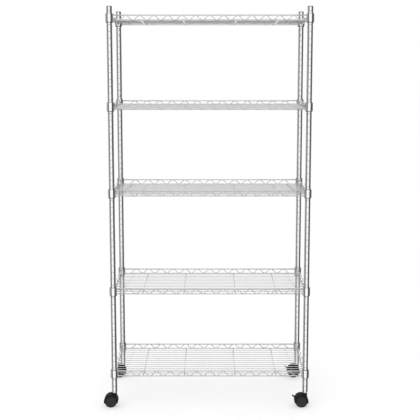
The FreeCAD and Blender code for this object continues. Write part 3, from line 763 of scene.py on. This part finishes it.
def welds(tier):
    """All the weld beads of a shelf."""
    shape = Shape()
    zigzag_welds(shape, tier_height[tier])
    deck_welds(shape, tier)
    collar_welds(shape, tier_height[tier])
    shape.piece(f"shelf_{tier}_welds", WELD, RACK)


# ---- Casters and fasteners ------------------------------------------------------------------

def finish_node(name, material):
    """Gives a CAD node its material."""
    for slot in nodes[name].material_slots:
        slot.material = material


def casters_and_fasteners():
    """Materials of the nodes that keep their CAD shapes."""
    for name in nodes:
        if name.endswith(("_hood", "_pedal")):
            finish_node(name, HOOD_NYLON)
        elif "_wheel_" in name:
            finish_node(name, WHEEL_NYLON)
        elif name.endswith(("_axle", "_pin", "_inserts", "_studs", "_stems")):
            finish_node(name, ZINC)


# ---- Studio ---------------------------------------------------------------------------------

def floor():
    """Wide pale floor. It glows a little, so that it stays as white as the backdrop.

    It is left out of reflections, where the studio below the horizon stands in for it.
    """
    bpy.ops.mesh.primitive_plane_add(size=FLOOR_SIZE, location=(0, 0, cad_box[0].z))
    made = bpy.context.object
    made.name = "floor"
    finish = Finish("pale_floor")
    finish.fix(Roughness=0.9, Specular_IOR_Level=0.1)
    finish.fix(Emission_Color=(1, 1, 1, 1), Emission_Strength=FLOOR_GLOW)
    finish.colours(finish.noise(0.7), (0.3, grey(0.56)), (0.7, grey(0.58)))
    made.data.materials.append(finish.material)
    made.visible_glossy = False


class Sky(Nodes):
    """The world's node tree, in which each value is a brightness by direction."""

    def ease(self, value, start, end, low, high):
        """Goes smoothly from low to high while the value goes from start to end."""
        made = self.add("ShaderNodeMapRange", interpolation_type="SMOOTHSTEP")
        for socket, number in zip(made.inputs, (value, start, end, low, high)):
            self.join(number, socket)
        return made.outputs["Result"]

    def fade(self, angle, edge, low, high):
        """Goes smoothly from low to high across an edge, given as two angles in degrees."""
        return self.ease(angle, *map(math.radians, edge), low, high)

    def chain(self, operation, *values):
        """The product, or the largest, of any number of values."""
        made = values[0]
        for value in values[1:]:
            made = self.maths(operation, made, value)
        return made

    def either(self, share, one, other):
        """The first value where the share is 0, the second where it is 1."""
        made = self.add("ShaderNodeMix", data_type="FLOAT")
        for name, value in (("Factor", share), ("A", one), ("B", other)):
            self.join(value, made.inputs[name])
        return made.outputs["Result"]


def panels(sky):
    """What reflections see: soft white panels in front and behind, with dark flags between.

    Dimmer fills stand on both sides, a ceiling above and a nearly black ground below.
    """
    direction = sky.add("ShaderNodeSeparateXYZ")
    sky.join(sky.add("ShaderNodeTexCoord").outputs["Generated"], direction.inputs["Vector"])
    x, y, z = (direction.outputs[axis] for axis in "XYZ")
    around = sky.maths("ARCTAN2", sky.maths("ABSOLUTE", x), sky.maths("MULTIPLY", y, -1))
    height = sky.maths("ARCSINE", z)
    from_horizon = sky.maths("ABSOLUTE", height)
    front_panel = sky.chain(
        "MULTIPLY",
        sky.fade(around, FRONT_SIDES, FRONT_PANEL, 0),
        sky.fade(height, FRONT_TOP, 1, 0),
        sky.fade(height, FRONT_FOOT, 0, 1),
    )
    back_panel = sky.chain(
        "MULTIPLY",
        sky.fade(around, BACK_SIDES, 0, BACK_PANEL),
        sky.fade(from_horizon, BACK_TOP_AND_FOOT, 1, 0),
    )
    fill = sky.chain(
        "MULTIPLY",
        sky.ease(x, -FILL_BLEND, FILL_BLEND, LEFT_FILL, RIGHT_FILL),
        sky.fade(around, FILL_SIDES, FILL_BEHIND_PANELS, 1),
        sky.fade(height, FILL_FOOT, 0, 1),
    )
    ceiling = sky.fade(height, CEILING_EDGE, 0, CEILING)
    ground = sky.fade(height, GROUND_EDGE, GROUND, 0)
    return sky.chain("MAXIMUM", front_panel, back_panel, fill, ceiling, ground)


def studio():
    """White surroundings, a shade brighter for lighting than the camera sees them."""
    world = bpy.data.worlds.new("studio")
    bpy.context.scene.world = world
    world.use_nodes = True
    world.node_tree.nodes.clear()
    sky = Sky(world.node_tree)
    rays = sky.add("ShaderNodeLightPath")
    plain = sky.either(rays.outputs["Is Camera Ray"], SURROUNDINGS, BACKDROP)
    brightness = sky.either(rays.outputs["Is Glossy Ray"], plain, panels(sky))
    background = sky.add("ShaderNodeBackground")
    background.inputs["Color"].default_value = (1, 1, 1, 1)
    sky.join(brightness, background.inputs["Strength"])
    output = sky.add("ShaderNodeOutputWorld")
    sky.join(background.outputs["Background"], output.inputs["Surface"])


def lamp():
    """Large soft light above the front left, for gentle shading on the dark plastic."""
    light = bpy.data.lights.new("overhead_softbox", "AREA")
    light.shape = "RECTANGLE"
    light.size, light.size_y = LAMP_SIZE
    light.energy = LAMP_POWER
    made = bpy.data.objects.new("overhead_softbox", light)
    made.location = LAMP_PLACE
    aim = Vector((centre_x, 0, LAMP_AIM_HEIGHT)) - made.location
    made.rotation_euler = aim.to_track_quat("-Z", "Y").to_euler()
    made.visible_glossy = False
    bpy.context.scene.collection.objects.link(made)


def camera():
    """Long lens from the front, a little above the fourth shelf, looking slightly down."""
    lens = bpy.data.cameras.new("camera")
    lens.sensor_width = SENSOR
    lens.lens = LENS
    lens.shift_y = SHIFT
    lens.clip_end = FAR_ENOUGH
    made = bpy.data.objects.new("camera", lens)
    made.location = (centre_x + CAMERA_ASIDE, -CAMERA_DISTANCE, CAMERA_HEIGHT)
    made.rotation_euler = (math.radians(90 - CAMERA_TILT), 0, 0)
    bpy.context.scene.collection.objects.link(made)
    bpy.context.scene.camera = made


for post_corner in CORNERS:
    for post_part in ("lower", "upper"):
        post_section(post_corner, post_part)
caps()
for shelf in TIERS:
    collars(shelf)
    sleeves(shelf)
    rails(shelf)
    zigzags(shelf)
    deck(shelf)
    welds(shelf)
casters_and_fasteners()

floor()
studio()
lamp()
camera()
bpy.context.scene.view_settings.view_transform = "Standard"
